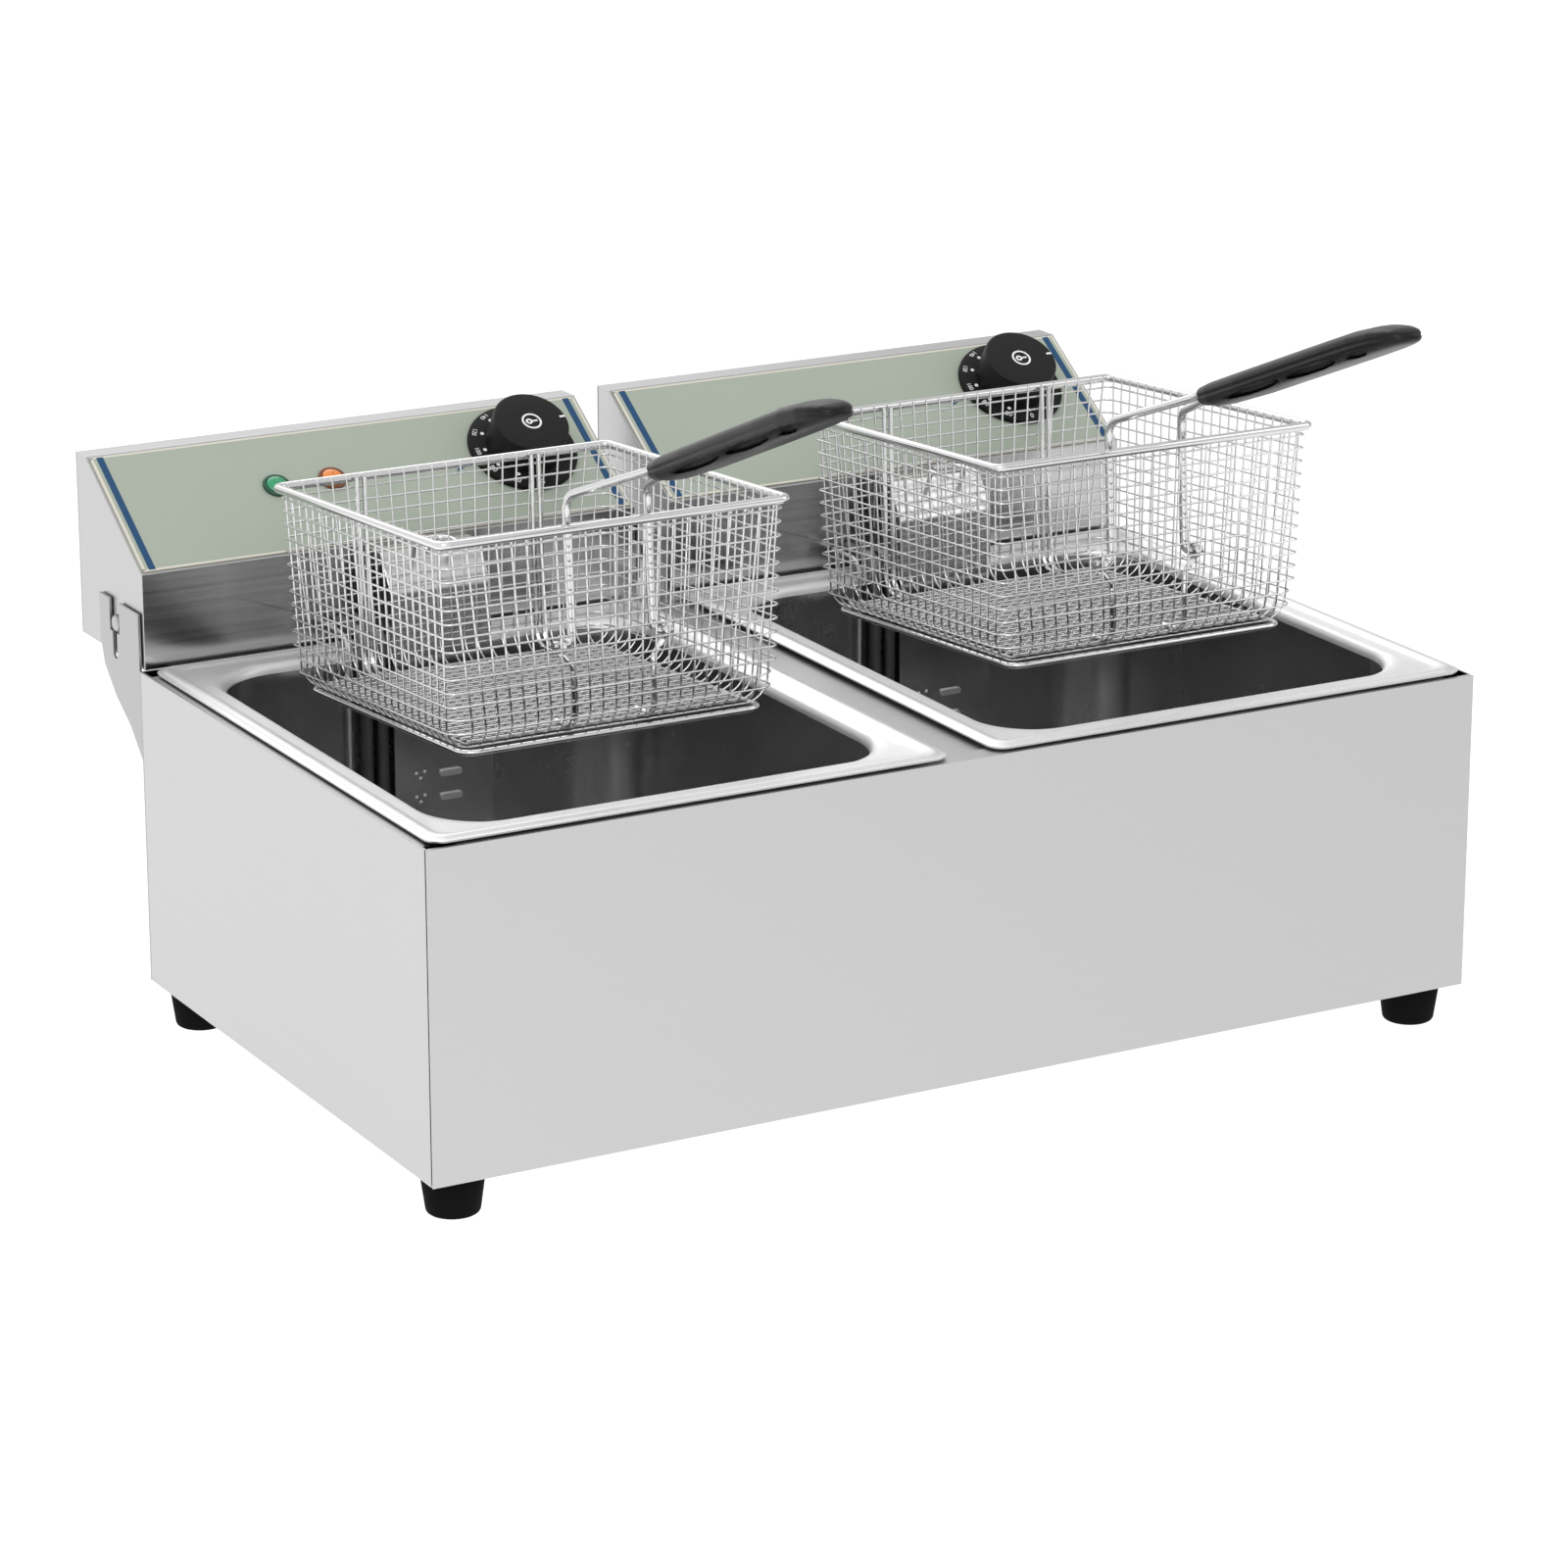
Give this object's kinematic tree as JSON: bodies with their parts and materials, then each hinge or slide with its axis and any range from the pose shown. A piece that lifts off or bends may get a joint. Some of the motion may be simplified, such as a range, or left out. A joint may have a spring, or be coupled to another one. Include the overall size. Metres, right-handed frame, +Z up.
{
  "type": "deep fryer",
  "caption": "Countertop electric deep fryer: steel housing on feet, lift-out tanks, hooked-on control heads with dials and lamps, and raised wire baskets with fold-in handles.",
  "frame": {"origin": "middle of the whole fryer's footprint, grips and cable glands included, at the bottom of its feet", "axes": "+X to the right along the front, +Y to the back where the control heads hang, +Z up"},
  "size_m": [0.56, 0.5139, 0.3799],
  "materials": {
    "housing_steel": "brushed stainless sheet",
    "base_steel": "plain steel",
    "tank_steel": "bright polished stainless",
    "element_steel": "satin steel tube",
    "basket_wire": "plated steel wire",
    "foot_rubber": "matte black rubber",
    "black_plastic": "matte black moulded plastic",
    "grip_plastic": "satin black moulded plastic",
    "overlay_print": "printed sage green overlay",
    "green_lens": "clear green lens",
    "amber_lens": "clear amber lens",
    "terminal_ceramic": "unglazed white ceramic",
    "reset_red": "red moulded plastic"
  },
  "bodies": {
    "housing": {"front_panel": "housing_steel", "back_panel": "housing_steel", "side_panel_left": "housing_steel", "side_panel_right": "housing_steel", "deck_bar": "housing_steel", "base_plate": "base_steel", "foot_front_left": "foot_rubber", "foot_front_right": "foot_rubber", "foot_back_left": "foot_rubber", "foot_back_right": "foot_rubber", "ear_left_outer": "housing_steel", "ear_left_inner": "housing_steel", "ear_right_inner": "housing_steel", "ear_right_outer": "housing_steel"},
    "tank_left": {"tank_left": "tank_steel"},
    "head_left": {"head_case_left": "housing_steel", "head_cover_left": "housing_steel", "overlay_left": "overlay_print", "lamp_green_left": "green_lens", "lamp_amber_left": "amber_lens", "thermostat_left": "black_plastic", "head_pin_left_left": "base_steel", "head_pin_right_left": "base_steel", "element_bracket_left": "housing_steel", "heating_element_left": "element_steel", "thermostat_bulb_left": "tank_steel", "terminal_block_left": "terminal_ceramic", "cable_gland_left": "black_plastic"},
    "knob_left": {"knob_left": "black_plastic", "spindle_left": "base_steel"},
    "reset_left": {"reset_button_left": "reset_red"},
    "basket_left": {"basket_left": "basket_wire", "basket_rim_left": "basket_wire", "basket_hook_left": "basket_wire"},
    "handle_left": {"handle_wire_left": "basket_wire", "handle_crossbar_left": "basket_wire", "handle_grip_left": "grip_plastic"},
    "tank_right": {"tank_right": "tank_steel"},
    "head_right": {"head_case_right": "housing_steel", "head_cover_right": "housing_steel", "overlay_right": "overlay_print", "lamp_green_right": "green_lens", "lamp_amber_right": "amber_lens", "thermostat_right": "black_plastic", "head_pin_left_right": "base_steel", "head_pin_right_right": "base_steel", "element_bracket_right": "housing_steel", "heating_element_right": "element_steel", "thermostat_bulb_right": "tank_steel", "terminal_block_right": "terminal_ceramic", "cable_gland_right": "black_plastic"},
    "knob_right": {"knob_right": "black_plastic", "spindle_right": "base_steel"},
    "reset_right": {"reset_button_right": "reset_red"},
    "basket_right": {"basket_right": "basket_wire", "basket_rim_right": "basket_wire", "basket_hook_right": "basket_wire"},
    "handle_right": {"handle_wire_right": "basket_wire", "handle_crossbar_right": "basket_wire", "handle_grip_right": "grip_plastic"}
  },
  "joints": [
    {"name": "tank_lift_left", "type": "slide", "parent": "housing", "child": "tank_left", "axis": [0, 0, 1], "range_m": [0, 0.16]},
    {"name": "head_lift_left", "type": "slide", "parent": "tank_left", "child": "head_left", "axis": [0, 0, 1], "range_m": [0, 0.2]},
    {"name": "basket_lift_left", "type": "slide", "parent": "head_left", "child": "basket_left", "axis": [0, 0, 1], "range_m": [0, 0.15]},
    {"name": "handle_fold_left", "type": "hinge", "parent": "basket_left", "child": "handle_left", "pos_m": [-0.13, -0.04372, 0.22627], "axis": [-1, 0, 0], "range_deg": [0, 90]},
    {"name": "thermostat_knob_left", "type": "hinge", "parent": "head_left", "child": "knob_left", "pos_m": [-0.054, 0.20139, 0.25229], "axis": [0, 0.5547, -0.8321], "range_deg": [0, 270]},
    {"name": "reset_press_left", "type": "slide", "parent": "head_left", "child": "reset_left", "axis": [0, -1, 0], "range_m": [0, 0.002], "stiffness_N_per_m": 400},
    {"name": "tank_lift_right", "type": "slide", "parent": "housing", "child": "tank_right", "axis": [0, 0, 1], "range_m": [0, 0.16]},
    {"name": "head_lift_right", "type": "slide", "parent": "tank_right", "child": "head_right", "axis": [0, 0, 1], "range_m": [0, 0.2]},
    {"name": "basket_lift_right", "type": "slide", "parent": "head_right", "child": "basket_right", "axis": [0, 0, 1], "range_m": [0, 0.15]},
    {"name": "handle_fold_right", "type": "hinge", "parent": "basket_right", "child": "handle_right", "pos_m": [0.164, -0.04372, 0.22627], "axis": [-1, 0, 0], "range_deg": [0, 90]},
    {"name": "thermostat_knob_right", "type": "hinge", "parent": "head_right", "child": "knob_right", "pos_m": [0.234, 0.20139, 0.25229], "axis": [0, 0.5547, -0.8321], "range_deg": [0, 270]},
    {"name": "reset_press_right", "type": "slide", "parent": "head_right", "child": "reset_right", "axis": [0, -1, 0], "range_m": [0, 0.002], "stiffness_N_per_m": 400}
  ]
}
